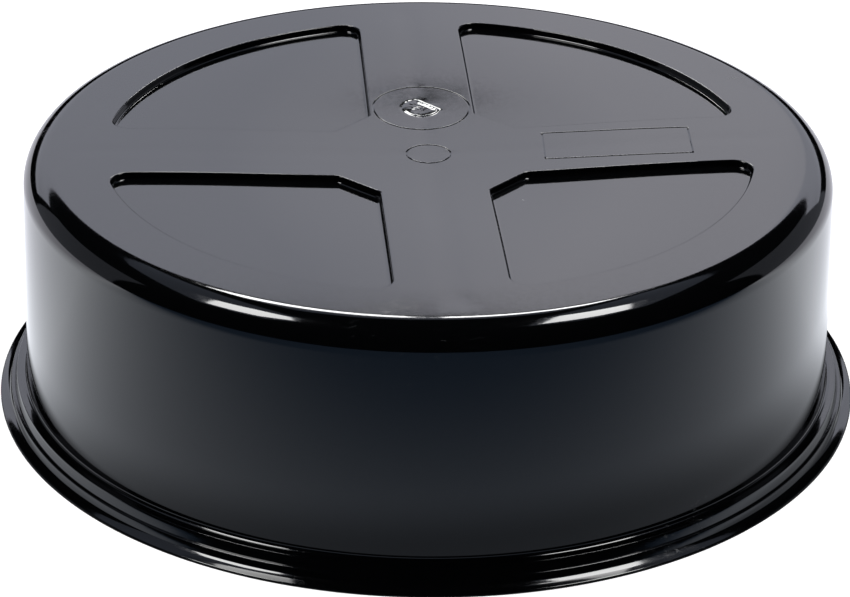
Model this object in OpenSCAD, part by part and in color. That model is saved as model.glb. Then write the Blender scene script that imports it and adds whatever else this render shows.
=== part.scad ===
// Carburetor hat: a one-piece moulded cover that drops over the air horn of a carburetor.
// Millimetres, +Z up. The origin is the centre of the rim's resting plane, +Y runs along the arm
// that holds the gate, and +X along the arm that holds the mould insert.

/* [Body] */
// Height from the resting rim to the flat of the top
body_h = 69.2; // [55:0.1:100]
// Radius of the wall, carried up to the plane of the top
top_r = 108.2; // [98:0.1:130]
// Slope of the wall in degrees, wider towards the flange
draft = 1.55; // [0.5:0.05:3.5]
// Thickness of the wall and the top
wall_t = 2.4; // [1.8:0.1:3.2]
// Outer radius of the rounded shoulder
shoulder_r = 7.7; // [5:0.1:9.5]

/* [Flange] */
// How far the flange reaches out past the foot of the wall
flange_w = 7.6; // [6.5:0.1:14]
// Height of the flange's flat above the resting plane
flange_h = 5.9; // [4.5:0.1:9]
// Thickness of the turned-down lip
lip_t = 2; // [1.5:0.1:3]
// How far the lip leans out between its top and its foot
lip_lean = 1.6; // [0.4:0.1:2.2]
// Radius of the lip's upper outer edge
lip_edge_r = 1.2; // [0.8:0.1:2.4]
// Radius of the lip's lower outer edge
rim_edge_r = 0.5; // [0.2:0.1:0.9]
// Radius of the hollow between wall and flange
foot_fillet_r = 1.1; // [0.5:0.1:2]

/* [Top] */
// Flat ring between the shoulder and the pockets
land_w = 13.7; // [10:0.1:25]
// How far the middle of the top is dished
dish_depth = 2.9; // [1:0.1:4]
// Width of the four arms between the pockets
arm_w = 28.8; // [22:0.1:40]
// Depth of the pockets
pocket_depth = 1.9; // [1:0.1:4]
// Legs of the chamfer at each pocket's inner corner
pocket_chamfer = 10.4; // [5:0.1:15]
// Corner radius at the two ends of each pocket's arc
pocket_corner_r = 5; // [2:0.1:9]

/* [Gate and witness lines] */
// Distance of the gate's centre from the middle
gate_y = 28.8; // [24:0.1:40]
// Radius of the line round the gate insert
gate_ring_r = 14; // [9:0.1:14.2]
// Radius of the broken gate
gate_stub_r = 4.8; // [3:0.1:7]
// Height of the broken gate at its tall side
gate_stub_h = 0.6; // [0.3:0.1:1.2]
// Radius of the core pin's line at the middle
pin_line_r = 5.9; // [4:0.1:7.5]
// Length of the bare mould insert
insert_l = 39.6; // [25:0.1:45]
// Width of the bare mould insert
insert_w = 16.6; // [10:0.1:20]
// Distance from the middle to the insert's centre
insert_x = 51; // [44:0.1:60]
// How far the insert sits off the arm's centre line
insert_y = 0.8; // [-1:0.1:1]
// Turn of the insert against the arm, in degrees
insert_turn = -2.6; // [-4:0.1:4]
// Width of the witness lines
line_w = 0.4; // [0.2:0.05:0.8]
// Depth of the witness lines
line_depth = 0.2; // [0.1:0.05:0.5]

/* [Underside] */
// Thickness of the four ribs
rib_t = 1.8; // [1.2:0.1:2.4]
// Depth of the ribs below the underside of the top's flat
rib_drop = 12; // [9:0.1:25]
// Outer radius of the middle boss
boss_r = 7; // [6:0.1:10]
// How far the boss reaches below the ribs
boss_reach = 4; // [1:0.1:15]
// Slope of the boss in degrees
boss_draft = 1; // [0:0.1:2]
// Radius of the stud hole
stud_hole_r = 3.4; // [2.6:0.05:4.2]
// Depth of the stud hole
stud_hole_depth = 12; // [8:0.1:14]
// Widening at the stud hole's mouth
stud_lead = 0.8; // [0.3:0.1:1.2]

/* [Hidden] */
$fn = 96;
fine_fn = 240;
// Clearance past a face that a cut runs out through
slack = 1;
// How far a round runs past the faces that it blends, so that they always cross
overrun = 0.005;
dish_steps = 14;

slope = tan(draft);
shoulder_x = top_r - shoulder_r * tan(45 - draft / 2);
shoulder_z = body_h - shoulder_r;
foot_r = top_r + (body_h - flange_h) * slope;
foot_x = foot_r + foot_fillet_r * tan(45 - draft / 2);
foot_z = flange_h + foot_fillet_r;
rim_r = foot_r + flange_w;
lip_angle = atan2(lip_lean, flange_h);
pocket_r = shoulder_x - land_w;
half_arm = arm_w / 2;
rib_z = body_h - wall_t - rib_drop;
boss_z = rib_z - boss_reach;

// Depth of the dish at a distance from the axis: a smooth bowl that runs out level at the pockets' arc
function dish_at(r) = r >= pocket_r ? 0 : dish_depth * (1 + cos(180 * r / pocket_r)) / 2;

// The dished face, lowered by drop, as points from the axis to the pockets' arc
function dish_line(drop) = [
    for (i = [0:dish_steps])
        let (r = pocket_r * i / dish_steps)
        [r, body_h - drop - dish_at(r)]
];

// The same points from the pockets' arc back to the axis
function dish_line_back(drop) = [
    for (i = [dish_steps:-1:0])
        dish_line(drop)[i]
];

// Radius of the wall's outer face at a height, moved inwards by depth
function wall_at(z, depth) = top_r + (body_h - z) * slope - depth / cos(draft);

// The web between a round of radius r and the two faces that it touches at angles a1 and a2
module corner_web(centre, r, a1, a2) {
    reach = r + slack;
    mid = (a1 + a2) / 2;
    tip = reach / cos((a2 - a1) / 2);
    translate(centre) difference() {
        polygon([
            [0, 0],
            reach * [cos(a1), sin(a1)],
            tip * [cos(mid), sin(mid)],
            reach * [cos(a2), sin(a2)]
        ]);
        circle(r + overrun, $fn = fine_fn);
    }
}

// Outer half section: dished top, rounded shoulder, drafted wall, flange and turned-down lip
module outer_section() {
    lip_top_x = rim_r - lip_lean;
    edge_x = lip_top_x - lip_edge_r * tan(45 - lip_angle / 2);
    rim_x = rim_r - rim_edge_r * tan(45 + lip_angle / 2);
    difference() {
        union() {
            polygon(concat(
                [[0, 0], [rim_r, 0], [lip_top_x, flange_h], [foot_r, flange_h], [top_r, body_h]],
                dish_line_back(0)
            ));
            corner_web([foot_x, foot_z], foot_fillet_r, 180 + draft, 270);
        }
        corner_web([shoulder_x, shoulder_z], shoulder_r, draft, 90);
        corner_web([edge_x, flange_h - lip_edge_r], lip_edge_r, lip_angle, 90);
        corner_web([rim_x, rim_edge_r], rim_edge_r, -90, lip_angle);
    }
}

// Inner half section: the hollow under the top, and the channel under the flange
module inner_section() {
    under_z = flange_h - wall_t;
    roof_z = body_h - wall_t;
    lip_in = rim_r - lip_t / cos(lip_angle);
    lip_slope = lip_lean / flange_h;
    difference() {
        union() {
            polygon(concat(
                [
                    [0, -slack],
                    [lip_in + slack * lip_slope, -slack],
                    [lip_in - under_z * lip_slope, under_z],
                    [wall_at(under_z, wall_t), under_z],
                    [wall_at(roof_z, wall_t), roof_z]
                ],
                dish_line_back(wall_t)
            ));
            corner_web([foot_x, foot_z], foot_fillet_r + wall_t, 180 + draft, 270);
        }
        corner_web([shoulder_x, shoulder_z], shoulder_r - wall_t, draft, 90);
    }
}

// One pocket's outline, grown outwards by grow
module pocket_outline(grow) {
    side = half_arm - grow;
    cut = pocket_chamfer - grow * (sqrt(2) - 2);
    far = pocket_r + grow;
    corner_a = half_arm + pocket_corner_r;
    corner_b = sqrt(pow(pocket_r - pocket_corner_r, 2) - pow(corner_a, 2));
    turn = atan2(corner_b, corner_a);
    difference() {
        intersection() {
            circle(far, $fn = fine_fn);
            polygon([
                [side + cut, side],
                [far + slack, side],
                [far + slack, far + slack],
                [side, far + slack],
                [side, side + cut]
            ]);
        }
        corner_web([corner_a, corner_b], pocket_corner_r + grow, turn, 180);
        corner_web([corner_b, corner_a], pocket_corner_r + grow, -90, 90 - turn);
    }
}

// What lies under the dished face lowered by drop, out to radius r
module under_dish(drop, r) {
    rotate_extrude($fn = fine_fn)
    polygon(concat([[0, 0], [r, 0], [r, body_h - drop]], dish_line_back(drop)));
}

// The four pockets' outlines raised past the top, down to the dished face lowered by drop
module pocket_blocks(grow, drop) {
    difference() {
        for (quarter = [0:3])
            rotate([0, 0, 90 * quarter])
            translate([0, 0, rib_z])
            linear_extrude(body_h - rib_z + slack)
            pocket_outline(grow);
        under_dish(drop, top_r);
    }
}

// Four ribs that cross at the middle
module ribs() {
    for (turn = [0, 90])
        rotate([0, 0, turn])
        translate([-foot_r, -rib_t / 2, rib_z])
        cube([2 * foot_r, rib_t, body_h]);
}

// The boss that holds the stud hole, wider towards its root
module boss() {
    boss_h = body_h - boss_z;
    translate([0, 0, boss_z])
    cylinder(boss_h, boss_r, boss_r + boss_h * tan(boss_draft));
}

// Blind hole for the carburetor's stud, with a lead-in at its mouth
module stud_hole() {
    translate([0, 0, boss_z - slack])
    cylinder(stud_hole_depth + slack, stud_hole_r, stud_hole_r);
    translate([0, 0, boss_z - slack])
    cylinder(stud_lead + slack, stud_hole_r + stud_lead + slack, stud_hole_r);
}

// The hollow inside, with the pocket floors, ribs and boss left standing
module hollow() {
    difference() {
        rotate_extrude($fn = fine_fn) inner_section();
        pocket_blocks(wall_t, pocket_depth + wall_t);
        ribs();
        boss();
    }
}

// A round witness line
module ring_line(r) {
    translate([0, 0, rib_z])
    linear_extrude(body_h)
    difference() {
        circle(r + line_w / 2);
        circle(r - line_w / 2);
    }
}

// The outline of the mould insert, a bare frame
module frame_line() {
    translate([insert_x, insert_y, rib_z])
    rotate([0, 0, insert_turn])
    linear_extrude(body_h)
    difference() {
        square([insert_l + line_w, insert_w + line_w], center = true);
        square([insert_l - line_w, insert_w - line_w], center = true);
    }
}

// All witness lines, cut to their depth below the dished face
module witness_lines() {
    difference() {
        union() {
            translate([0, gate_y, 0]) ring_line(gate_ring_r);
            ring_line(pin_line_r);
            frame_line();
        }
        under_dish(line_depth, top_r);
    }
}

// The stub where the gate broke off, cut at a slant
module gate_stub() {
    face_z = body_h - dish_at(gate_y);
    lean = atan2(gate_stub_h, 2 * gate_stub_r);
    translate([0, gate_y, face_z - wall_t / 2])
    difference() {
        cylinder(wall_t / 2 + gate_stub_h, gate_stub_r, gate_stub_r);
        translate([0, -gate_stub_r, wall_t / 2 + gate_stub_h])
            rotate([-lean, 0, 0])
            translate([-2 * gate_stub_r, -gate_stub_r, 0])
            cube([4 * gate_stub_r, 4 * gate_stub_r, wall_t]);
    }
}

module hat_shell() {
    color([0.03, 0.03, 0.035])
    difference() {
        union() {
            difference() {
                rotate_extrude($fn = fine_fn) outer_section();
                hollow();
                pocket_blocks(0, pocket_depth);
                witness_lines();
            }
            gate_stub();
        }
        stud_hole();
    }
}

hat_shell();
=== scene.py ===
import math
import random

import bmesh
import bpy
from mathutils import Matrix, Vector
from mathutils.geometry import delaunay_2d_cdt


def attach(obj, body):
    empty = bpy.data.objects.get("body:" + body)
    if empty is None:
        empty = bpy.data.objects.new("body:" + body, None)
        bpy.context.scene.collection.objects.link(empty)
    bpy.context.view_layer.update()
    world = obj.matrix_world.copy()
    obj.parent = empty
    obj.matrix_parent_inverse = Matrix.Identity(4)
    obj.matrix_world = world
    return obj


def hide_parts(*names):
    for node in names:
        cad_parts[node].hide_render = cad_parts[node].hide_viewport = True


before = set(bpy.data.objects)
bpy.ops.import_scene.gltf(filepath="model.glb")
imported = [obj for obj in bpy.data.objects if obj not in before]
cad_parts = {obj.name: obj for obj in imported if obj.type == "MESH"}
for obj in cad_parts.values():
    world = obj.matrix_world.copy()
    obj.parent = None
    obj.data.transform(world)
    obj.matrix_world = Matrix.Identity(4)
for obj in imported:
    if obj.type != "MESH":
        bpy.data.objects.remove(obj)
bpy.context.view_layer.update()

bl_info = {
    "name": "Carburetor hat",
    "version": (1, 0, 0),
    "blender": (4, 5, 0),
    "location": "View3D > Sidebar > Hat",
    "description": "Builds a round moulded cover with a cross top, its finish and a small studio",
    "category": "Object",
}

MM = 0.001
# Points closer than this are one point
WELD = 2e-6
# Steps round the boss and its hole
BOSS_STEPS = 96


def length(name, description, default, low, high):
    """A size in metres that a user can change."""
    return bpy.props.FloatProperty(
        name=name, description=description, default=default, min=low, max=high,
        subtype="DISTANCE", unit="LENGTH", precision=4,
    )


def share(name, description, default, low=0.0, high=1.0):
    """A plain number that a user can change."""
    return bpy.props.FloatProperty(
        name=name, description=description, default=default, min=low, max=high, precision=4,
    )


def colour(name, description, default):
    """A linear colour that a user can change."""
    return bpy.props.FloatVectorProperty(
        name=name, description=description, default=default, size=3, min=0.0, max=1.0, subtype="COLOR",
    )


def tilt(name, description, default, low, high):
    """An angle that a user can change, given here in degrees."""
    return bpy.props.FloatProperty(
        name=name, description=description, default=math.radians(default),
        min=math.radians(low), max=math.radians(high), subtype="ANGLE", unit="ROTATION",
    )


def count(name, description, default, low, high):
    """A whole number that a user can change."""
    return bpy.props.IntProperty(name=name, description=description, default=default, min=low, max=high)


class HatSizes(bpy.types.PropertyGroup):
    """Sizes of the moulding, in metres."""

    height: length("Height", "From the rim's resting plane to the flat of the top", 69.2 * MM, 0.055, 0.1)
    top_r: length("Top radius", "Radius of the wall, carried up to the top's plane", 108.2 * MM, 0.098, 0.13)
    draft: tilt("Draft", "Slope of the wall, wider towards the flange", 1.55, 0.5, 3.5)
    wall: length("Wall", "Thickness of the wall and the top", 2.4 * MM, 0.0018, 0.0032)
    shoulder_r: length("Shoulder radius", "Outer radius of the rounded shoulder", 7.7 * MM, 0.005, 0.0095)
    flange_w: length("Flange width", "Reach of the flange past the wall's foot", 7.6 * MM, 0.0065, 0.014)
    flange_h: length("Flange height", "Height of the flange's flat", 5.9 * MM, 0.0045, 0.009)
    lip: length("Lip thickness", "Thickness of the turned-down lip", 2 * MM, 0.0015, 0.003)
    lip_lean: length("Lip lean", "Reach of the lip's outer face on its way down", 4.7 * MM, 0.001, 0.0055)
    lip_inner: length("Inner lip lean", "Reach of its inner face on its way down", 1.6 * MM, 0.0004, 0.0022)
    lip_edge_r: length("Lip edge radius", "Radius between the flat and the lip", 0.12 * MM, 0.00005, 0.0006)
    rim_edge_h: length("Rim edge height", "Upright edge at the lip's foot", 0.3 * MM, 0.0002, 0.002)
    tuck: length("Tuck", "How far the rim is held inside the plain solid", 0.16 * MM, 0.0, 0.0003)
    foot_r: length("Foot hollow radius", "Radius between wall and flange", 1.1 * MM, 0.0005, 0.002)
    land: length("Land width", "Flat ring outside the pockets", 13.7 * MM, 0.01, 0.025)
    dish: length("Dish depth", "How far the middle of the top is dished", 2.9 * MM, 0.001, 0.004)
    arm: length("Arm width", "Width of the four arms between the pockets", 28.8 * MM, 0.022, 0.04)
    pocket: length("Pocket depth", "Depth of the four pockets", 1.9 * MM, 0.001, 0.004)
    chamfer: length("Pocket chamfer", "Legs of a pocket's inner chamfer", 10.4 * MM, 0.005, 0.015)
    corner_r: length("Pocket corner radius", "Radius at the ends of its arc", 5 * MM, 0.002, 0.009)
    pocket_edge: length("Pocket edge radius", "Rounding of a pocket's upper edge", 0.4 * MM, 0.0001, 0.001)
    pocket_root: length("Pocket root radius", "Rounding at the foot of its wall", 0.7 * MM, 0.0001, 0.0015)
    pocket_slope: length("Pocket wall slope", "How far a pocket's wall leans in", 0.12 * MM, 0.00005, 0.0004)
    rib: length("Rib thickness", "Thickness of the ribs underneath", 1.8 * MM, 0.0012, 0.0024)
    rib_drop: length("Rib depth", "Depth of the ribs below the top's underside", 12 * MM, 0.009, 0.025)
    boss_r: length("Boss radius", "Outer radius of the boss in the middle", 7 * MM, 0.006, 0.01)
    boss_reach: length("Boss reach", "How far the boss reaches below the ribs", 4 * MM, 0.001, 0.015)
    hole_r: length("Stud hole radius", "Radius of the blind hole in the boss", 3.4 * MM, 0.0026, 0.0042)
    hole_depth: length("Stud hole depth", "Depth of the blind hole in the boss", 12 * MM, 0.008, 0.014)
    hole_lead: length("Stud hole lead-in", "Widening at the hole's mouth", 0.8 * MM, 0.0003, 0.0012)


class HatMarks(bpy.types.PropertyGroup):
    """Mould marks on the top, in metres."""

    gate_y: length("Gate distance", "Distance of the gate's centre from the middle", 28.8 * MM, 0.024, 0.04)
    gate_ring_r: length("Gate ring radius", "Radius of the line round the gate", 13.3 * MM, 0.009, 0.0135)
    gate_r: length("Gate stub radius", "Radius of the torn gate", 5.0 * MM, 0.003, 0.007)
    gate_cut: length("Gate stub cut", "From the gate's middle to its torn side", 2.8 * MM, 0.001, 0.005)
    gate_h: length("Gate stub height", "Height of the torn gate", 0.09 * MM, 0.00005, 0.0012)
    pin_r: length("Core pin radius", "Radius of the core pin's line at the middle", 5.9 * MM, 0.004, 0.0075)
    insert_l: length("Insert length", "Length of the bare mould insert", 39.6 * MM, 0.025, 0.045)
    insert_w: length("Insert width", "Width of the bare mould insert", 16.6 * MM, 0.01, 0.02)
    insert_x: length("Insert distance", "From the middle to the insert's centre", 51 * MM, 0.044, 0.06)
    insert_y: length("Insert offset", "Offset from the arm's centre line", 0.8 * MM, -0.001, 0.001)
    insert_turn: tilt("Insert turn", "Turn of the insert against the arm", -2.6, -4, 4)
    line_w: length("Line width", "Width of the fine mould lines", 0.4 * MM, 0.0002, 0.0008)
    line_depth: length("Line depth", "Depth of the fine mould lines", 0.1 * MM, 0.00002, 0.0003)
    sink: length("Sink depth", "Depth of the sink marks over the ribs", 0.08 * MM, 0.0, 0.0002)
    sink_w: length("Sink width", "Half the width of a sink mark", 3.2 * MM, 0.001, 0.006)


class HatMesh(bpy.types.PropertyGroup):
    """How finely the moulding is meshed."""

    around: count("Steps round", "Steps round the whole moulding", 384, 48, 768)
    fill: length("Fill spacing", "Spacing of the points that fill the top", 3.2 * MM, 0.0015, 0.01)
    along: length("Edge spacing", "Spacing of the points along a pocket's edge", 1.6 * MM, 0.0008, 0.005)


class HatFinish(bpy.types.PropertyGroup):
    """The black moulded plastic."""

    plastic: colour("Plastic", "Colour of the plastic", (0.0008, 0.0009, 0.0011))
    scuff: colour("Scuff", "Colour of scuffed plastic and dust", (0.16, 0.17, 0.18))
    gloss: share("Roughness", "Roughness of the clean plastic", 0.06)
    worn: share("Scuffed roughness", "Roughness of the scuffed plastic", 0.42)


class HatStudio(bpy.types.PropertyGroup):
    """Camera, floor and lamps."""

    lens_px: share("Focal length", "In pixels of the 850 pixel wide picture", 3221.11, 100.0, 20000.0)
    azimuth: share("Camera azimuth", "Degrees round from -Y, towards -X", 4.276, -180.0, 180.0)
    elevation: share("Camera elevation", "Degrees that the camera stands above the floor", 27.062, 0.0, 90.0)
    roll: share("Camera roll", "Degrees that the camera is rolled", 0.627, -10.0, 10.0)
    distance: length("Camera distance", "From the camera to the point it looks at", 0.88535, 0.1, 10.0)
    aim_x: length("Aim across", "How far the point it looks at lies to the right", -0.0003, -0.1, 0.1)
    aim_z: length("Aim height", "Height of the point it looks at", 0.02262, 0.0, 0.2)
    centre_px: share("Optical centre", "Pixels right of the picture's middle", 0.84, -20.0, 20.0)
    paper: colour("Floor", "Colour of the floor", (0.82, 0.82, 0.82))
    # Painted light and shade of the floor as only reflections see it: dark at the front, brightest level with
    # the object, greyer at the back
    floor_front: colour("Floor, front", "Its mirrored colour at the front", (0.055, 0.085, 0.135))
    floor_lit: colour("Floor, lit", "Its mirrored colour where it is brightest", (0.87, 0.9, 0.96))
    floor_back: colour("Floor, back", "Its mirrored colour at the back", (0.58, 0.58, 0.64))
    floor_level: share("Floor level", "Strength of the mirrored floor", 1.75, 0.0, 5.0)
    cloth_shade: colour("Backdrop, shade", "Colour of the backdrop's left", (0.7, 0.72, 0.83))
    cloth_lit: colour("Backdrop, lit", "Colour of the backdrop's right", (0.9, 0.9, 1.0))
    lamp_level: share("Lamp level", "Strength of the lamps", 14.0, 0.0, 50.0)
    lamp_far: length("Lamp distance", "From the object to the lamps", 1.4, 0.5, 5.0)


# Section and outlines, in metres


def arc(centre, radius, start, end, steps):
    """Points on an arc, from one angle in degrees to another, both ends included."""
    turns = [math.radians(start + (end - start) * i / steps) for i in range(steps + 1)]
    return [(centre[0] + radius * math.cos(t), centre[1] + radius * math.sin(t)) for t in turns]


def between(a, b, steps):
    """Points strictly between a and b."""
    return [
        (a[0] + (b[0] - a[0]) * i / steps, a[1] + (b[1] - a[1]) * i / steps)
        for i in range(1, steps)
    ]


class Form:
    """The moulding's derived sizes and its faces as formulas."""

    def __init__(self, s):
        self.s = s
        slope = math.tan(s.draft)
        half = math.pi / 4 - s.draft / 2
        self.shoulder = (s.top_r - s.shoulder_r * math.tan(half), s.height - s.shoulder_r)
        self.wall_foot = s.top_r + (s.height - s.flange_h) * slope
        self.foot = (self.wall_foot + s.foot_r * math.tan(half), s.flange_h + s.foot_r)
        self.rim = self.wall_foot + s.flange_w - s.tuck
        self.pocket_r = self.shoulder[0] - s.land
        self.half_arm = s.arm / 2
        self.rib_z = s.height - s.wall - s.rib_drop
        self.boss_z = self.rib_z - s.boss_reach

    def dish(self, r):
        """Depth of the dish at a distance from the axis."""
        if r >= self.pocket_r:
            return 0.0
        return self.s.dish * (1 + math.cos(math.pi * r / self.pocket_r)) / 2

    def lip_face(self):
        """The lip's outer face from the flat down to the bench: steep, flared, then an upright edge."""
        s = self.s
        # Length of each stretch of the flare, with its slope from the upright at both ends
        stretches = [
            (3.0, 19, 19, 4), (0.7, 19, 45, 6), (1.0, 45, 57, 5),
            (1.5, 57, 70, 6), (1.1, 70, 72, 3), (0.56, 72, 4, 8),
        ]
        x, y = 0.0, 0.0
        line = [(x, y)]
        for size, start, end, steps in stretches:
            for i in range(steps):
                slope = math.radians(start + (end - start) * (i + 0.5) / steps)
                x += math.sin(slope) * size / steps
                y += math.cos(slope) * size / steps
                line.append((x, y))
        drop = s.flange_h - s.rim_edge_h
        flat = self.rim - s.lip_lean
        face = [(flat + s.lip_lean * px / x, s.flange_h - drop * py / y) for px, py in line]
        e = s.lip_edge_r
        corner = [
            (flat - e, s.flange_h),
            (flat - 0.4 * e, s.flange_h - 0.08 * e),
            (flat + 0.1 * e, s.flange_h - 0.55 * e),
        ]
        foot = [(self.rim, s.rim_edge_h / 2), (self.rim - 0.03 * MM, 0.04 * MM), (self.rim - 0.15 * MM, 0.0)]
        return corner + face[1:] + foot

    def section(self):
        """Half section from the land's edge over the shoulder, wall and flange, and back up inside."""
        s = self.s
        draft = math.degrees(s.draft)
        lean = s.lip_inner / s.flange_h
        lip_in = self.rim - s.lip / math.cos(math.atan(lean))
        under = s.flange_h - s.wall
        outer = arc(self.shoulder, s.shoulder_r, 90, draft, 26)
        hollow = arc(self.foot, s.foot_r, 180 + draft, 270, 10)
        lip = self.lip_face()
        inner_hollow = arc(self.foot, s.foot_r + s.wall, 270, 180 + draft, 10)
        inner = arc(self.shoulder, s.shoulder_r - s.wall, draft, 90, 14)
        points = outer + between(outer[-1], hollow[0], 10) + hollow
        points += between(hollow[-1], lip[0], 5) + lip
        points += [(lip_in + 0.35 * MM, 0.0), (lip_in + 0.1 * MM, 0.1 * MM), (lip_in, 0.35 * MM)]
        points += between((lip_in, 0.35 * MM), (lip_in - under * lean, under - 0.3 * MM), 3)
        points += [
            (lip_in - under * lean, under - 0.3 * MM),
            (lip_in - under * lean - 0.1 * MM, under - 0.1 * MM),
            (lip_in - under * lean - 0.3 * MM, under),
        ]
        points += between(points[-1], inner_hollow[0], 3) + inner_hollow
        points += between(inner_hollow[-1], inner[0], 10) + inner
        return points

    def pocket(self, grow, spacing):
        """A pocket's closed outline in the first quarter, grown outwards."""
        s = self.s
        side = self.half_arm - grow
        cut = s.chamfer - grow * (math.sqrt(2) - 2)
        far = self.pocket_r + grow
        near = self.half_arm + s.corner_r
        reach = math.sqrt((self.pocket_r - s.corner_r) ** 2 - near ** 2)
        turn = math.degrees(math.atan2(near, reach))
        steps = max(2, round((reach - self.half_arm - s.chamfer) / spacing))
        bend = max(6, round(s.corner_r * math.radians(180 - turn) / spacing * 2))
        sweep = max(8, round(self.pocket_r * math.radians(90 - 2 * turn) / spacing))
        flat = max(2, round(s.chamfer * math.sqrt(2) / spacing))
        a = (side + cut, side)
        b = (side, side + cut)
        first = arc((reach, near), s.corner_r + grow, -90, turn, bend)
        outer = arc((0, 0), far, turn, 90 - turn, sweep)
        last = arc((near, reach), s.corner_r + grow, 90 - turn, 180, bend)
        line = [a] + between(a, first[0], steps) + first + outer[1:-1] + last
        return line + between(last[-1], b, steps) + [b] + between(b, a, flat)


def turned(points, quarter):
    """Points turned by quarters of a circle."""
    for _ in range(quarter):
        points = [(-y, x) for x, y in points]
    return points


def ring(centre, radius, steps):
    """Closed ring of points."""
    return arc(centre, radius, 0, 360, steps)[:-1]


class Skin:
    """A face that is filled between closed lines, with a height at every point."""

    def __init__(self):
        self.points = []
        self.heights = []
        self.edges = []

    def line(self, points, heights):
        """Adds a closed line of points with their heights."""
        start, size = len(self.points), len(points)
        self.points += [Vector(p) for p in points]
        self.heights += list(heights)
        self.edges += [(start + i, start + (i + 1) % size) for i in range(size)]

    def fill(self, height_at, radius, spacing, clear):
        """Adds points on rings out to a radius, each at least clear away from the lines."""
        taken = {}
        for p in self.points:
            taken.setdefault((int(p.x // clear), int(p.y // clear)), []).append(p)
        rings = int(radius / spacing)
        for i in range(rings):
            r = radius * i / rings
            steps = max(1, round(2 * math.pi * r / spacing))
            for k in range(steps):
                turn = 2 * math.pi * (k + 0.5 * (i % 2)) / steps
                p = Vector((r * math.cos(turn), r * math.sin(turn)))
                cx, cy = int(p.x // clear), int(p.y // clear)
                cells = ((cx + dx, cy + dy) for dx in (-1, 0, 1) for dy in (-1, 0, 1))
                near = (q for cell in cells for q in taken.get(cell, ()))
                if all((p - q).length > clear for q in near):
                    self.points.append(p)
                    self.heights.append(height_at(p.x, p.y))

    def faces(self):
        """Vertices and triangles of the filled face."""
        verts, _, faces, origin, _, _ = delaunay_2d_cdt(self.points, self.edges, [], 0, 1e-9)
        out = []
        for v, source in zip(verts, origin):
            if not source:
                raise RuntimeError(f"two lines of the top cross at {v.x * 1000:.2f}, {v.y * 1000:.2f} mm")
            out.append((v.x, v.y, self.heights[source[0]]))
        return out, faces


def pocket_steps(s, thickness):
    """How far each line round a pocket stands off its outline, with its drop, from the top down."""
    e, f, lean = s.pocket_edge, s.pocket_root, s.pocket_slope
    steps = [(e + 0.25 * MM + thickness, 0.0)]
    upper = arc((e, -e), e, 90, 180, 5)
    steps += [(x + thickness, y) for x, y in upper]
    lower = arc((-lean - f, -s.pocket + f), f, 0, -90, 6)
    steps += [(x + thickness, y) for x, y in lower]
    steps += [(-lean - f - 0.5 * MM + thickness, -s.pocket), (-lean - f - 1.1 * MM + thickness, -s.pocket)]
    return steps


def top_skin(form, marks, mesh):
    """The dished top with its pockets and mould marks."""
    s = form.s
    skin = Skin()

    def sink(x, y):
        depth = 0.0
        for along, across in ((x, y), (y, x)):
            if abs(along) < 96 * MM and abs(across) < marks.sink_w * 1.6:
                depth += marks.sink * math.exp(-(across / marks.sink_w * 1.6) ** 2)
        return min(depth, marks.sink)

    def base(x, y):
        return s.height - form.dish(math.hypot(x, y)) - sink(x, y)

    def add(points, drop):
        skin.line(points, [base(x, y) + drop for x, y in points])

    skin.line(ring((0, 0), form.shoulder[0], mesh.around), [s.height] * mesh.around)
    for inset in (0.5, 1.2):
        skin.line(ring((0, 0), form.shoulder[0] - inset * MM, mesh.around), [s.height] * mesh.around)
    for grow, drop in pocket_steps(s, 0.0):
        outline = form.pocket(grow, mesh.along)
        for quarter in range(4):
            add(turned(outline, quarter), drop)
    groove = [(-1.8, 0.0), (-1, 0.0), (-0.5, -0.6), (0, -1.0), (0.5, -0.6), (1, 0.0), (1.8, 0.0)]
    for offset, depth in groove:
        w = offset * marks.line_w / 2
        add(ring((0, 0), marks.pin_r + w, 72), depth * marks.line_depth)
    for offset, depth in groove:
        circle = ring((0, marks.gate_y), marks.gate_ring_r + offset * marks.line_w / 2, 132)
        add(circle, depth * marks.line_depth)
    for offset, depth in groove:
        add(insert_frame(marks, offset * marks.line_w / 2), depth * marks.line_depth)
    gate_stub(skin, base, marks)

    def inside(x, y):
        return s.height - form.dish(math.hypot(x, y)) - pocket_drop(form, x, y) - sink(x, y)

    skin.fill(inside, form.shoulder[0] - 1.2 * MM, mesh.fill, mesh.fill * 0.55)
    return skin.faces()


def pocket_drop(form, x, y, thickness=0.0):
    """How far a point on the top lies below the arms: the pocket's depth inside a pocket."""
    s = form.s
    x, y = abs(x), abs(y)
    side = form.half_arm - thickness
    cut = s.chamfer - thickness * (math.sqrt(2) - 2)
    inside = min(x, y) > side and x + y > 2 * side + cut and math.hypot(x, y) < form.pocket_r + thickness
    return s.pocket if inside else 0.0


def insert_frame(marks, grow):
    """Outline of the bare mould insert, grown outwards."""
    half_l, half_w = marks.insert_l / 2 + grow, marks.insert_w / 2 + grow
    corners = [(-half_l, -half_w), (half_l, -half_w), (half_l, half_w), (-half_l, half_w)]
    points = []
    for i, a in enumerate(corners):
        b = corners[(i + 1) % 4]
        points += [a] + between(a, b, 20 if i % 2 == 0 else 9)
    c, s = math.cos(marks.insert_turn), math.sin(marks.insert_turn)
    return [(marks.insert_x + x * c - y * s, marks.insert_y + x * s + y * c) for x, y in points]


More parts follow.
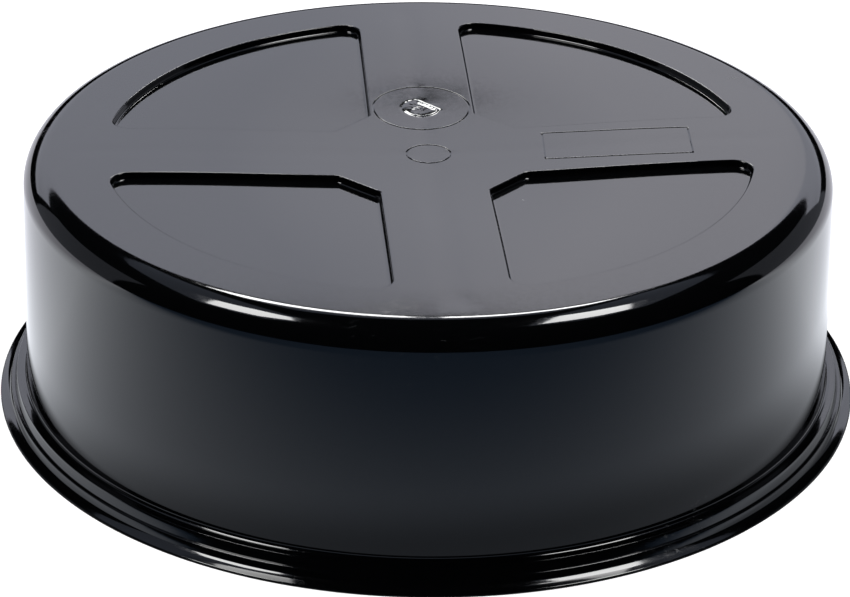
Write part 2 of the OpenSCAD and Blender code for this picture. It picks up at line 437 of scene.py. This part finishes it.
def gate_stub(skin, base, marks):
    """The patch where the gate tore off: a low disc with one torn straight side and a ragged left half."""
    rng = random.Random(7)
    steps = 56
    torn = Vector((0.734, 0.678))
    outline = []
    for k in range(steps):
        turn = 2 * math.pi * k / steps
        way = Vector((math.cos(turn), math.sin(turn)))
        reach = way.dot(torn)
        cut = marks.gate_cut / reach if reach > 0.1 else marks.gate_r
        side = way * min(marks.gate_r, cut) * (1 + 0.03 * (rng.random() - 0.5))
        outline.append((side.x, side.y, cut < marks.gate_r))
    rises = [
        (1.3, 0.0), (1.12, 0.0), (1.05, -0.7), (0.98, 0.7),
        (0.86, 1.0), (0.6, 1.1), (0.38, 1.0), (0.18, 1.05),
    ]
    for scale, rise in rises:
        heights = []
        for x, y, broken in outline:
            ragged = 0.35 if x < -1.2 * MM else 0.05
            lift = rise + ragged * (rng.random() - 0.5) if rise > 0.5 else rise
            if broken and 0.8 < scale < 1:
                lift += 1.0 + 0.8 * rng.random()
            heights.append(base(x * scale, marks.gate_y + y * scale) + marks.gate_h * lift)
        skin.line([(x * scale, marks.gate_y + y * scale) for x, y, _ in outline], heights)


def under_skin(form, mesh):
    """The underside of the top, with the pockets' floors standing down from it."""
    s = form.s
    skin = Skin()
    top = s.height - s.wall

    def base(x, y):
        return top - form.dish(math.hypot(x, y))

    skin.line(ring((0, 0), form.shoulder[0], mesh.around), [top] * mesh.around)
    skin.line(ring((0, 0), form.shoulder[0] - 1 * MM, mesh.around), [top] * mesh.around)
    for grow, drop in pocket_steps(s, s.wall):
        outline = form.pocket(grow, mesh.along * 1.5)
        for quarter in range(4):
            points = turned(outline, quarter)
            skin.line(points, [base(x, y) + drop for x, y in points])

    def inside(x, y):
        return base(x, y) - pocket_drop(form, x, y, s.wall)

    skin.fill(inside, form.shoulder[0] - 1 * MM, mesh.fill * 1.4, mesh.fill * 0.7)
    return skin.faces()


# Geometry Nodes trees


def new_tree(name, inputs):
    """An empty tree with its geometry sockets and named inputs."""
    tree = bpy.data.node_groups.new(name, "GeometryNodeTree")
    tree.interface.new_socket("Geometry", in_out="INPUT", socket_type="NodeSocketGeometry")
    for label, kind, default in inputs:
        socket = tree.interface.new_socket(label, in_out="INPUT", socket_type=kind)
        if default is not None:
            socket.default_value = default
    tree.interface.new_socket("Geometry", in_out="OUTPUT", socket_type="NodeSocketGeometry")
    return tree, tree.nodes.new("NodeGroupInput"), tree.nodes.new("NodeGroupOutput")


def node(tree, kind, links=(), **settings):
    """A node with its settings, and its inputs linked or given a value."""
    made = tree.nodes.new(kind)
    for key, value in settings.items():
        setattr(made, key, value)
    for socket, source in links:
        if isinstance(source, bpy.types.NodeSocket):
            tree.links.new(source, made.inputs[socket])
        else:
            made.inputs[socket].default_value = source
    return made


def finish_tree(tree, end, geometry, material):
    """Realizes what the tree made, gives it its material and ends the tree."""
    real = node(tree, "GeometryNodeRealizeInstances", [("Geometry", geometry)])
    painted = node(tree, "GeometryNodeSetMaterial", [("Geometry", real.outputs[0]), ("Material", material)])
    tree.links.new(painted.outputs[0], end.inputs[0])


def revolve_tree():
    """Sweeps a half section, given as a row of points, round the Z axis."""
    tree, start, end = new_tree(
        "Swept section",
        [("Steps round", "NodeSocketInt", 384), ("Material", "NodeSocketMaterial", None)],
    )
    section = start.outputs["Geometry"]
    size = node(tree, "GeometryNodeAttributeDomainSize", [("Geometry", section)], component="MESH")
    rows = size.outputs["Point Count"]
    columns = node(tree, "ShaderNodeMath", [(0, start.outputs["Steps round"]), (1, 1.0)], operation="ADD")
    grid = node(
        tree, "GeometryNodeMeshGrid",
        [("Vertices X", columns.outputs[0]), ("Vertices Y", rows)],
    )
    index = node(tree, "GeometryNodeInputIndex")
    share_of = node(tree, "ShaderNodeMath", [(0, index.outputs[0]), (1, rows)], operation="DIVIDE")
    column = node(tree, "ShaderNodeMath", [(0, share_of.outputs[0])], operation="FLOOR")
    row = node(tree, "ShaderNodeMath", [(0, index.outputs[0]), (1, rows)], operation="MODULO")
    turn = node(
        tree, "ShaderNodeMath",
        [(0, column.outputs[0]), (1, start.outputs["Steps round"])], operation="DIVIDE",
    )
    angle = node(tree, "ShaderNodeMath", [(0, turn.outputs[0]), (1, 2 * math.pi)], operation="MULTIPLY")
    place = node(tree, "GeometryNodeInputPosition")
    picked = node(
        tree, "GeometryNodeSampleIndex",
        [("Geometry", section), ("Value", place.outputs[0]), ("Index", row.outputs[0])],
        data_type="FLOAT_VECTOR", domain="POINT",
    )
    swung = node(
        tree, "ShaderNodeVectorRotate",
        [("Vector", picked.outputs["Value"]), ("Angle", angle.outputs[0])], rotation_type="Z_AXIS",
    )
    moved = node(
        tree, "GeometryNodeSetPosition",
        [("Geometry", grid.outputs["Mesh"]), ("Position", swung.outputs[0])],
    )
    closed = node(tree, "GeometryNodeMergeByDistance", [("Geometry", moved.outputs[0]), ("Distance", WELD)])
    finish_tree(tree, end, closed.outputs[0], start.outputs["Material"])
    return tree


def rib_tree():
    """Turns one blade into a cross of blades and joins them."""
    tree, start, end = new_tree(
        "Crossed ribs",
        [("Blades", "NodeSocketInt", 2), ("Material", "NodeSocketMaterial", None)],
    )
    points = node(tree, "GeometryNodePoints", [("Count", start.outputs["Blades"])])
    index = node(tree, "GeometryNodeInputIndex")
    step = node(
        tree, "ShaderNodeMath", [(0, math.pi), (1, start.outputs["Blades"])], operation="DIVIDE",
    )
    angle = node(tree, "ShaderNodeMath", [(0, index.outputs[0]), (1, step.outputs[0])], operation="MULTIPLY")
    spin = node(tree, "ShaderNodeCombineXYZ", [("Z", angle.outputs[0])])
    blades = node(
        tree, "GeometryNodeInstanceOnPoints",
        [
            ("Points", points.outputs[0]),
            ("Instance", start.outputs["Geometry"]),
            ("Rotation", spin.outputs[0]),
        ],
    )
    real = node(tree, "GeometryNodeRealizeInstances", [("Geometry", blades.outputs[0])])
    joined = node(tree, "GeometryNodeMeshBoolean", [], operation="UNION", solver="EXACT")
    joined.inputs["Self Intersection"].default_value = True
    tree.links.new(real.outputs[0], joined.inputs["Mesh 2"])
    finish_tree(tree, end, joined.outputs["Mesh"], start.outputs["Material"])
    return tree


# Meshes and objects


def mesh_object(name, verts, faces, edges=()):
    """An object at the origin with its place in its mesh."""
    mesh = bpy.data.meshes.new(name)
    mesh.from_pydata(verts, list(edges), faces)
    mesh.update()
    obj = bpy.data.objects.new(name, mesh)
    bpy.context.scene.collection.objects.link(obj)
    return obj


def plain(obj):
    """The evaluated object as a plain mesh, with its modifiers gone."""
    graph = bpy.context.evaluated_depsgraph_get()
    mesh = bpy.data.meshes.new_from_object(obj.evaluated_get(graph), depsgraph=graph)
    mesh.name = obj.name
    obj.modifiers.clear()
    old = obj.data
    obj.data = mesh
    bpy.data.meshes.remove(old)
    return obj


def grow_with(obj, tree, values):
    """Runs a tree on an object, with its inputs set, and keeps the result as a plain mesh."""
    modifier = obj.modifiers.new(tree.name, "NODES")
    modifier.node_group = tree
    for item in tree.interface.items_tree:
        if item.item_type == "SOCKET" and item.in_out == "INPUT" and item.name in values:
            modifier[item.identifier] = values[item.name]
    return paint(plain(obj), values["Material"])


def paint(obj, material):
    """Gives every face one material."""
    obj.data.materials.clear()
    obj.data.materials.append(material)
    for face in obj.data.polygons:
        face.material_index = 0
    return obj


def combine(obj, tool, operation):
    """Joins a closed tool to a closed mesh, or cuts it out, and deletes the tool."""
    modifier = obj.modifiers.new(operation, "BOOLEAN")
    modifier.object = tool
    modifier.operation = operation
    modifier.solver = "EXACT"
    material = obj.data.materials[0]
    paint(tool, material)
    paint(plain(obj), material)
    bpy.data.objects.remove(tool)
    return obj


def lathe(name, section, steps):
    """A closed solid of revolution from a half section that starts and ends on the axis."""
    verts = [(0, 0, section[0][1]), (0, 0, section[-1][1])]
    rings = section[1:-1]
    for r, z in rings:
        for k in range(steps):
            turn = 2 * math.pi * k / steps
            verts.append((r * math.cos(turn), r * math.sin(turn), z))
    faces = []
    for k in range(steps):
        n = (k + 1) % steps
        faces.append((0, 2 + n, 2 + k))
        for i in range(len(rings) - 1):
            a, b = 2 + i * steps, 2 + (i + 1) * steps
            faces.append((a + k, a + n, b + n, b + k))
        last = 2 + (len(rings) - 1) * steps
        faces.append((1, last + k, last + n))
    obj = mesh_object(name, verts, faces)
    outward(obj)
    return obj


def outward(obj):
    """Welds a closed mesh, stops if it has an open edge, and turns its faces outwards."""
    work = bmesh.new()
    work.from_mesh(obj.data)
    bmesh.ops.remove_doubles(work, verts=work.verts, dist=WELD)
    bmesh.ops.recalc_face_normals(work, faces=work.faces)
    loose = sum(1 for e in work.edges if len(e.link_faces) != 2)
    if work.calc_volume(signed=True) < 0:
        bmesh.ops.reverse_faces(work, faces=work.faces)
    work.to_mesh(obj.data)
    work.free()
    if loose:
        raise RuntimeError(f"{obj.name} has {loose} open edges")
    obj.data.update()


def rib_blade(form):
    """One full-length blade along X, whose upper edge stays inside the top's thickness."""
    s = form.s
    middle = s.shoulder_r - s.wall / 2
    upper = arc(form.shoulder, middle, 0, 90, 4)[:-1]
    bend = len(upper)
    steps = 24
    for i in range(steps + 1):
        r = form.shoulder[0] * (1 - 2 * i / steps)
        upper.append((r, s.height - s.wall / 2 - form.dish(abs(r))))
    upper += [(-x, z) for x, z in reversed(upper[:bend])]
    edge = 0.35 * MM
    half = s.rib / 2
    low = form.rib_z
    rows = [(half, None), (half, low + edge), (half - 0.1 * MM, low + 0.1 * MM), (half - edge, low)]
    sides = [(y, z) for y, z in rows] + [(-y, z) for y, z in reversed(rows)]
    verts, faces = [], []
    for x, z in upper:
        verts += [(x, y, z if height is None else height) for y, height in sides]
    ring_size = len(sides)
    for i in range(len(upper) - 1):
        a, b = i * ring_size, (i + 1) * ring_size
        for k in range(ring_size):
            n = (k + 1) % ring_size
            faces.append((a + k, a + n, b + n, b + k))
    faces.append(tuple(range(ring_size)))
    faces.append(tuple(range(len(verts) - 1, len(verts) - ring_size - 1, -1)))
    obj = mesh_object("rib_blade", verts, faces)
    outward(obj)
    return obj


def smooth(obj, angle):
    """Smooth faces with sharp edges past an angle, and normals that follow the large faces."""
    for face in obj.data.polygons:
        face.use_smooth = True
    obj.data.set_sharp_from_angle(angle=math.radians(angle))
    weighted = obj.modifiers.new("Weighted normals", "WEIGHTED_NORMAL")
    weighted.keep_sharp = True
    weighted.weight = 100
    plain(obj)


# Materials


def new_material(name):
    """An empty node material with its output node."""
    material = bpy.data.materials.new(name)
    material.use_nodes = True
    material.node_tree.nodes.clear()
    return material, material.node_tree, material.node_tree.nodes.new("ShaderNodeOutputMaterial")


def calc(tree, kind, a, b):
    """One step of arithmetic."""
    return node(tree, "ShaderNodeMath", [(0, a), (1, b)], operation=kind).outputs[0]


def fade(tree, value, low, high, start=0.0, end=1.0, curve="SMOOTHSTEP"):
    """A value that runs from start to end while another runs from low to high."""
    links = [("Value", value), ("From Min", low), ("From Max", high), ("To Min", start), ("To Max", end)]
    return node(tree, "ShaderNodeMapRange", links, interpolation_type=curve).outputs["Result"]


def blend(tree, factor, first, second):
    """A colour between two colours or colour sockets."""
    pair = [tone if isinstance(tone, bpy.types.NodeSocket) else (*tone, 1.0) for tone in (first, second)]
    made = node(tree, "ShaderNodeMix", [(0, factor), (6, pair[0]), (7, pair[1])], data_type="RGBA")
    return made.outputs[2]


def distance_from(tree, place, centre):
    """Distance of a place from a centre."""
    offset = node(tree, "ShaderNodeVectorMath", [(0, place), (1, centre)], operation="SUBTRACT")
    return node(tree, "ShaderNodeVectorMath", [(0, offset.outputs[0])], operation="LENGTH").outputs["Value"]


def black_plastic(finish):
    """Glossy black moulded plastic, slightly wavy, with dust, smudges and a few scuffed places."""
    material, tree, out = new_material("black_plastic")
    place = node(tree, "ShaderNodeTexCoord").outputs["Object"]
    wave = node(tree, "ShaderNodeTexNoise", [("Vector", place), ("Scale", 22.0), ("Detail", 1.0)])
    grain = node(tree, "ShaderNodeTexNoise", [("Vector", place), ("Scale", 900.0), ("Detail", 3.0)])
    cells = node(tree, "ShaderNodeTexVoronoi", [("Vector", place), ("Scale", 130.0)])
    chosen = node(tree, "ShaderNodeSeparateColor", [("Color", cells.outputs["Color"])])
    few = calc(tree, "GREATER_THAN", chosen.outputs[0], 0.9)
    dust = calc(tree, "MULTIPLY", fade(tree, cells.outputs["Distance"], 0.05, 0.02), few)
    smear = node(
        tree, "ShaderNodeTexNoise",
        [("Vector", place), ("Scale", 55.0), ("Detail", 5.0), ("Distortion", 1.4)],
    )
    # Centres and radii of the scuffed places
    places = [
        ((0.098, 0.03, 0.069), 0.045), ((-0.104, 0.016, 0.066), 0.03),
        ((0.062, -0.1, 0.004), 0.022), ((-0.01, -0.102, 0.068), 0.02),
    ]
    worn = 0.0
    for centre, radius in places:
        near = fade(tree, distance_from(tree, place, centre), radius, 0.0)
        worn = near if worn == 0.0 else calc(tree, "MAXIMUM", worn, near)
    worn = calc(tree, "MULTIPLY", worn, fade(tree, smear.outputs["Fac"], 0.48, 0.66))
    streaks = node(
        tree, "ShaderNodeMapping",
        [("Vector", place), ("Scale", (260.0, 1500.0, 900.0)), ("Rotation", (0, 0, 0.5))],
    )
    scratch = node(
        tree, "ShaderNodeTexNoise", [("Vector", streaks.outputs[0]), ("Scale", 1.0), ("Detail", 2.0)],
    )
    scratched = calc(tree, "MULTIPLY", fade(tree, scratch.outputs["Fac"], 0.62, 0.7), worn)
    marked = calc(tree, "MAXIMUM", calc(tree, "MULTIPLY", worn, 0.25), scratched)
    haze = calc(tree, "MAXIMUM", dust, marked)
    clean = fade(tree, grain.outputs["Fac"], 0.2, 0.8, finish.gloss * 0.7, finish.gloss * 1.4)
    rough = fade(tree, haze, 0.0, 1.0, clean, finish.worn, "LINEAR")
    pale = calc(tree, "MAXIMUM", calc(tree, "MULTIPLY", dust, 0.8), calc(tree, "MULTIPLY", scratched, 0.25))
    slow = node(
        tree, "ShaderNodeBump",
        [("Height", wave.outputs["Fac"]), ("Strength", 0.25), ("Distance", 0.0002)],
    )
    fine = node(
        tree, "ShaderNodeBump",
        [
            ("Height", grain.outputs["Fac"]), ("Strength", 0.1), ("Distance", 0.00001),
            ("Normal", slow.outputs[0]),
        ],
    )
    shader = node(
        tree, "ShaderNodeBsdfPrincipled",
        [
            ("Base Color", blend(tree, pale, finish.plastic, finish.scuff)),
            ("Roughness", rough),
            ("Normal", fine.outputs["Normal"]),
            ("IOR", 1.56),
        ],
    )
    tree.links.new(shader.outputs[0], out.inputs["Surface"])
    return material


def floor_paper(studio):
    """Pale paper, white to the camera but for the shadow; mirrored, it is painted light and shade: it darkens
    towards the front and carries a painted shadow of the object.
    """
    material, tree, out = new_material("floor_paper")
    rays = node(tree, "ShaderNodeLightPath")
    place = node(tree, "ShaderNodeTexCoord").outputs["Object"]
    depth = node(tree, "ShaderNodeSeparateXYZ", [("Vector", place)]).outputs["Y"]
    # Painted shade of the mirrored floor: darker towards the front, brightest level with the object, greyer
    # towards the back
    rise = calc(tree, "POWER", fade(tree, depth, -0.25, 0.006, curve="LINEAR"), 1.65)
    lit = blend(tree, rise, studio.floor_front, studio.floor_lit)
    tone = blend(tree, fade(tree, depth, 0.022, 0.15, curve="LINEAR"), lit, studio.floor_back)
    # Painted shadow of the object, which falls a little to the front right, and a painted dark line of shadow
    # under its lip; only reflections see them
    shade = fade(tree, distance_from(tree, place, (0.006, -0.021, 0.0)), 0.107, 0.14, 0.42, 1.0)
    contact = fade(tree, distance_from(tree, place, (0.0, 0.0, 0.0)), 0.1165, 0.1225, 0.08, 1.0)
    level = calc(tree, "MULTIPLY", calc(tree, "MULTIPLY", shade, contact), studio.floor_level)
    seen = node(tree, "ShaderNodeEmission", [("Color", tone), ("Strength", level)])
    diffuse = node(tree, "ShaderNodeBsdfDiffuse", [("Color", (*studio.paper, 1.0))])
    lift = node(tree, "ShaderNodeEmission", [("Strength", 0.45)])
    white = node(tree, "ShaderNodeAddShader", [(0, diffuse.outputs[0]), (1, lift.outputs[0])])
    camera_mix = node(
        tree, "ShaderNodeMixShader",
        [(0, rays.outputs["Is Camera Ray"]), (1, diffuse.outputs[0]), (2, white.outputs[0])],
    )
    glossy_mix = node(
        tree, "ShaderNodeMixShader",
        [(0, rays.outputs["Is Glossy Ray"]), (1, camera_mix.outputs[0]), (2, seen.outputs[0])],
    )
    tree.links.new(glossy_mix.outputs[0], out.inputs["Surface"])
    return material


# Studio

# Corners of each lamp and of the two dimmer cloths round it, as the rightward and rearward parts of directions
LEFT_LAMP = (
    [(-0.45, 0.2), (-0.36, 0.15), (-0.31, 0.04), (-0.36, -0.14), (-0.49, -0.18), (-0.62, -0.05)],
    [(-0.47, 0.27), (-0.36, 0.2), (-0.3, 0.05), (-0.36, -0.16), (-0.5, -0.22), (-0.64, -0.06)],
    [(-0.2, 0.78), (-0.28, 0.2), (-0.29, 0.0), (-0.37, -0.2), (-0.5, -0.27), (-0.66, -0.08), (-0.5, 0.5)],
)
RIGHT_LAMP = (
    [(0.22, 0.28), (0.21, 0.36), (0.35, 0.36), (0.5, 0.07), (0.43, 0.01), (0.28, -0.04)],
    [(0.205, 0.29), (0.205, 0.4), (0.37, 0.4), (0.53, 0.07), (0.43, -0.03), (0.27, -0.07)],
    [(0.13, 0.8), (0.18, 0.35), (0.26, -0.11), (0.45, -0.1), (0.56, 0.07), (0.42, 0.55)],
)
BACK_LEFT_LAMP = (
    [(-0.16, 0.8), (-0.1, 0.86), (-0.01, 0.87), (-0.01, 0.79), (-0.08, 0.77), (-0.16, 0.74)],
    [(-0.16, 0.8), (-0.1, 0.865), (0.0, 0.872), (0.0, 0.73), (-0.08, 0.7), (-0.16, 0.68)],
    [(-0.16, 0.8), (-0.1, 0.87), (0.0, 0.875), (0.0, 0.66), (-0.08, 0.6), (-0.16, 0.58)],
)
BACK_RIGHT_LAMP = (
    [(0.01, 0.87), (0.11, 0.86), (0.11, 0.81), (0.01, 0.8)],
    [(0.0, 0.872), (0.115, 0.865), (0.115, 0.75), (0.0, 0.73)],
    [(0.0, 0.875), (0.12, 0.87), (0.12, 0.68), (0.0, 0.66)],
)


def rect(name, centre, across, along, material):
    """A flat rectangle from its centre and its two half sides."""
    c, a, b = Vector(centre), Vector(across), Vector(along)
    return sheet(name, [c - a - b, c + a - b, c + a + b, c - a + b], material)


def sheet(name, corners, material):
    """A flat piece of the studio from its corners."""
    obj = mesh_object(name, corners, [tuple(range(len(corners)))])
    obj.data.materials.append(material)
    return obj


def only_mirrored(obj):
    """The camera, shadows and soft light don't see this object, only reflections do."""
    obj.visible_camera = False
    obj.visible_diffuse = False
    obj.visible_shadow = False
    obj.visible_transmission = False


def lamp_cloth(name, level, tint=(1.0, 1.0, 1.0)):
    """Evenly lit cloth of a lamp."""
    material, tree, out = new_material(name)
    shader = node(tree, "ShaderNodeEmission", [("Color", (*tint, 1.0)), ("Strength", level)])
    tree.links.new(shader.outputs[0], out.inputs["Surface"])
    return material


def backdrop_cloth(studio):
    """Cloth behind the object, brighter to the right and towards its top."""
    material, tree, out = new_material("backdrop_cloth")
    place = node(tree, "ShaderNodeTexCoord").outputs["Object"]
    split = node(tree, "ShaderNodeSeparateXYZ", [("Vector", place)])
    across, height = split.outputs["X"], split.outputs["Z"]
    rise = fade(tree, across, -0.1, 0.1, curve="LINEAR")
    fall = fade(tree, across, 0.3, 0.38, 1.0, 0.0, "LINEAR")
    tone = blend(tree, calc(tree, "MULTIPLY", rise, fall), studio.cloth_shade, studio.cloth_lit)
    level = fade(tree, height, 0.68, 0.98, 1.45, 1.75, "LINEAR")
    shader = node(tree, "ShaderNodeEmission", [("Color", tone), ("Strength", level)])
    tree.links.new(shader.outputs[0], out.inputs["Surface"])
    return material


def lamp(studio, name, seat, distance, corners, material):
    """A flat lamp at a distance from a seat on the object, with its corners given as directions from there."""
    ways = [Vector((x, y, math.sqrt(1 - x * x - y * y))) for x, y in corners]
    middle = sum(ways, Vector()).normalized()
    obj = sheet(name, [Vector(seat) + way * distance / way.dot(middle) for way in ways], material)
    obj.matrix_world = Matrix.Rotation(math.radians(-studio.azimuth), 4, "Z")
    return obj


def soft_light(studio, name, corners):
    """The soft light of a lamp on the floor; the object doesn't mirror it."""
    middle = Vector((sum(x for x, _ in corners), sum(y for _, y in corners))) / len(corners)
    way = Vector((*middle, math.sqrt(1 - middle.length_squared)))
    data = bpy.data.lights.new(name, "AREA")
    data.shape = "SQUARE"
    data.size = 0.45
    data.energy = studio.lamp_level * math.pi * data.size ** 2
    obj = bpy.data.objects.new(name, data)
    obj.matrix_world = (
        Matrix.Rotation(math.radians(-studio.azimuth), 4, "Z")
        @ Matrix.Translation(way * studio.lamp_far)
        @ way.to_track_quat("Z", "Y").to_matrix().to_4x4()
    )
    obj.visible_camera = False
    obj.visible_glossy = False
    bpy.context.scene.collection.objects.link(obj)


def camera_frame(studio):
    """The camera's place and its right, up and backward directions."""
    el, roll = math.radians(studio.elevation), math.radians(studio.roll)
    back = Vector((0, -math.cos(el), math.sin(el)))
    right = Vector((1, 0, 0))
    up = right.cross(-back)
    right, up = (
        right * math.cos(roll) + up * math.sin(roll),
        up * math.cos(roll) - right * math.sin(roll),
    )
    eye = Vector((studio.aim_x, 0, studio.aim_z)) + back * studio.distance
    return Matrix.Translation(eye) @ Matrix((right, up, back)).transposed().to_4x4()


def add_camera(studio):
    """The camera at the photograph's place."""
    data = bpy.data.cameras.new("camera")
    data.sensor_fit = "HORIZONTAL"
    data.sensor_width = 36.0
    picture_w = 850
    data.lens = studio.lens_px / picture_w * data.sensor_width
    data.shift_x = -studio.centre_px / picture_w
    data.clip_start = 0.01
    obj = bpy.data.objects.new("camera", data)
    obj.matrix_world = Matrix.Rotation(math.radians(-studio.azimuth), 4, "Z") @ camera_frame(studio)
    bpy.context.scene.collection.objects.link(obj)
    bpy.context.scene.camera = obj


def white_world():
    """White for the camera and for mirrors, and a plain level of soft light."""
    world = bpy.data.worlds.new("studio_world")
    world.use_nodes = True
    tree = world.node_tree
    tree.nodes.clear()
    out = tree.nodes.new("ShaderNodeOutputWorld")
    rays = node(tree, "ShaderNodeLightPath")
    mirror = calc(tree, "MAXIMUM", rays.outputs["Is Glossy Ray"], rays.outputs["Is Transmission Ray"])
    direct = calc(tree, "MAXIMUM", rays.outputs["Is Camera Ray"], mirror)
    soft = node(tree, "ShaderNodeBackground", [("Color", (1.0, 1.0, 1.0, 1.0)), ("Strength", 0.55)])
    white = node(tree, "ShaderNodeBackground", [("Color", (1.0, 1.0, 1.0, 1.0)), ("Strength", 1.0)])
    mix = node(tree, "ShaderNodeMixShader", [(0, direct), (1, soft.outputs[0]), (2, white.outputs[0])])
    tree.links.new(mix.outputs[0], out.inputs["Surface"])
    bpy.context.scene.world = world


# Operators, panel and registration


class HAT_OT_cover(bpy.types.Operator):
    """Build the moulded cover in place of the plain solid"""

    bl_idname = "hat.cover"
    bl_label = "Build moulded cover"

    def execute(self, context):
        scene = context.scene
        s, marks, mesh = scene.hat_sizes, scene.hat_marks, scene.hat_mesh
        form = Form(s)
        plastic = black_plastic(scene.hat_finish)
        section = form.section()
        cover = mesh_object(
            "moulded_cover", [(r, 0.0, z) for r, z in section], [],
            [(i, i + 1) for i in range(len(section) - 1)],
        )
        grow_with(cover, revolve_tree(), {"Steps round": mesh.around, "Material": plastic})
        work = bmesh.new()
        work.from_mesh(cover.data)
        for verts, faces in (top_skin(form, marks, mesh), under_skin(form, mesh)):
            made = [work.verts.new(v) for v in verts]
            for face in faces:
                work.faces.new([made[i] for i in face])
        work.to_mesh(cover.data)
        work.free()
        outward(cover)
        ribs = grow_with(rib_blade(form), rib_tree(), {"Blades": 2, "Material": plastic})
        boss_top = s.height - s.dish - s.wall / 2
        boss = lathe(
            "boss",
            [
                (0, form.boss_z), (s.boss_r - 0.3 * MM, form.boss_z), (s.boss_r, form.boss_z + 0.3 * MM),
                (s.boss_r + 0.2 * MM, boss_top), (0, boss_top),
            ],
            BOSS_STEPS,
        )
        combine(ribs, boss, "UNION")
        hole = lathe(
            "stud_hole",
            [
                (0, form.boss_z - 1 * MM), (s.hole_r + s.hole_lead + 1 * MM, form.boss_z - 1 * MM),
                (s.hole_r, form.boss_z + s.hole_lead), (s.hole_r, form.boss_z + s.hole_depth),
                (0, form.boss_z + s.hole_depth),
            ],
            BOSS_STEPS,
        )
        combine(ribs, hole, "DIFFERENCE")
        combine(cover, ribs, "UNION")
        outward(cover)
        smooth(cover, 38)
        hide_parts("hat_shell")
        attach(cover, "root")
        return {"FINISHED"}


class HAT_OT_stage(bpy.types.Operator):
    """Set the floor, the flags, the lamps and the camera"""

    bl_idname = "hat.stage"
    bl_label = "Set the stage"

    def execute(self, context):
        studio = context.scene.hat_studio
        rect("floor", (0, 0, 0), (6, 0, 0), (0, 6, 0), floor_paper(studio))
        black = lamp_cloth("flag_black", 0.0)
        bright = lamp_cloth("lamp_cloth", studio.lamp_level)
        veil = lamp_cloth("lamp_veil", 0.6, (0.9, 0.95, 1.1))
        dim = lamp_cloth("lamp_dim", 0.3, (0.85, 0.95, 1.2))
        backdrop = rect("backdrop", (0, 1.7, 0.73), (1.6, 0, 0), (0, 0, 0.275), backdrop_cloth(studio))
        backdrop.matrix_world = Matrix.Rotation(math.radians(-studio.azimuth), 4, "Z")
        wing = lamp_cloth("wing_cloth", 0.22, (0.9, 0.95, 1.1))
        hidden = [
            rect("left_wing", (-2.6, 1.5, 0.9), (0, 1.3, 0), (0, 0, 0.9), wing),
            rect("right_wing", (2.6, 1.5, 0.9), (0, 1.3, 0), (0, 0, 0.9), wing),
            rect("ceiling", (0, 0, 2.0), (3, 0, 0), (0, 3, 0), black),
            rect("front_flag", (0, -3, 1.0), (3, 0, 0), (0, 0, 1.0), black),
            rect("left_flag", (-3, 0, 1.0), (0, 3, 0), (0, 0, 1.0), black),
            rect("right_flag", (3, 0, 1.0), (0, 3, 0), (0, 0, 1.0), black),
            rect("back_flag", (0, 3, 1.0), (3, 0, 0), (0, 0, 1.0), black),
        ]
        # Places on the shoulder that the lamps are aimed from, and the gap from a lamp to the cloth behind it
        left, right, front = (-0.043, -0.09, 0.066), (0.04, -0.095, 0.066), (0.0, -0.1, 0.069)
        cloth_gap = 0.05
        for seat, name, rows in (
            (left, "left", LEFT_LAMP), (right, "right", RIGHT_LAMP),
            (front, "back_left", BACK_LEFT_LAMP), (front, "back_right", BACK_RIGHT_LAMP),
        ):
            for i, (corners, cloth) in enumerate(zip(rows, (bright, veil, dim))):
                far = studio.lamp_far + cloth_gap * i
                hidden.append(lamp(studio, f"{name}_lamp_{i}", seat, far, corners, cloth))
        for obj in (*hidden, backdrop):
            only_mirrored(obj)
        for name, corners in (("left_light", LEFT_LAMP[0]), ("right_light", RIGHT_LAMP[0])):
            soft_light(studio, name, corners)
        white_world()
        add_camera(studio)
        context.scene.view_settings.view_transform = "Standard"
        return {"FINISHED"}


class HAT_PT_panel(bpy.types.Panel):
    """The hat's pieces, sizes and finish"""

    bl_idname = "HAT_PT_panel"
    bl_label = "Carburetor hat"
    bl_space_type = "VIEW_3D"
    bl_region_type = "UI"
    bl_category = "Hat"

    def draw(self, context):
        for kind in (HAT_OT_cover, HAT_OT_stage):
            self.layout.operator(kind.bl_idname)
        for name in GROUPS:
            box = self.layout.box()
            group = getattr(context.scene, name)
            for key in group.__annotations__:
                box.prop(group, key)


GROUPS = {
    "hat_sizes": HatSizes,
    "hat_marks": HatMarks,
    "hat_mesh": HatMesh,
    "hat_finish": HatFinish,
    "hat_studio": HatStudio,
}
CLASSES = (*GROUPS.values(), HAT_OT_cover, HAT_OT_stage, HAT_PT_panel)


def register():
    for kind in CLASSES:
        bpy.utils.register_class(kind)
    for name, kind in GROUPS.items():
        setattr(bpy.types.Scene, name, bpy.props.PointerProperty(type=kind))


def unregister():
    for name in GROUPS:
        delattr(bpy.types.Scene, name)
    for kind in reversed(CLASSES):
        bpy.utils.unregister_class(kind)


def main():
    register()
    bpy.ops.hat.cover()
    bpy.ops.hat.stage()


if __name__ == "__main__":
    main()
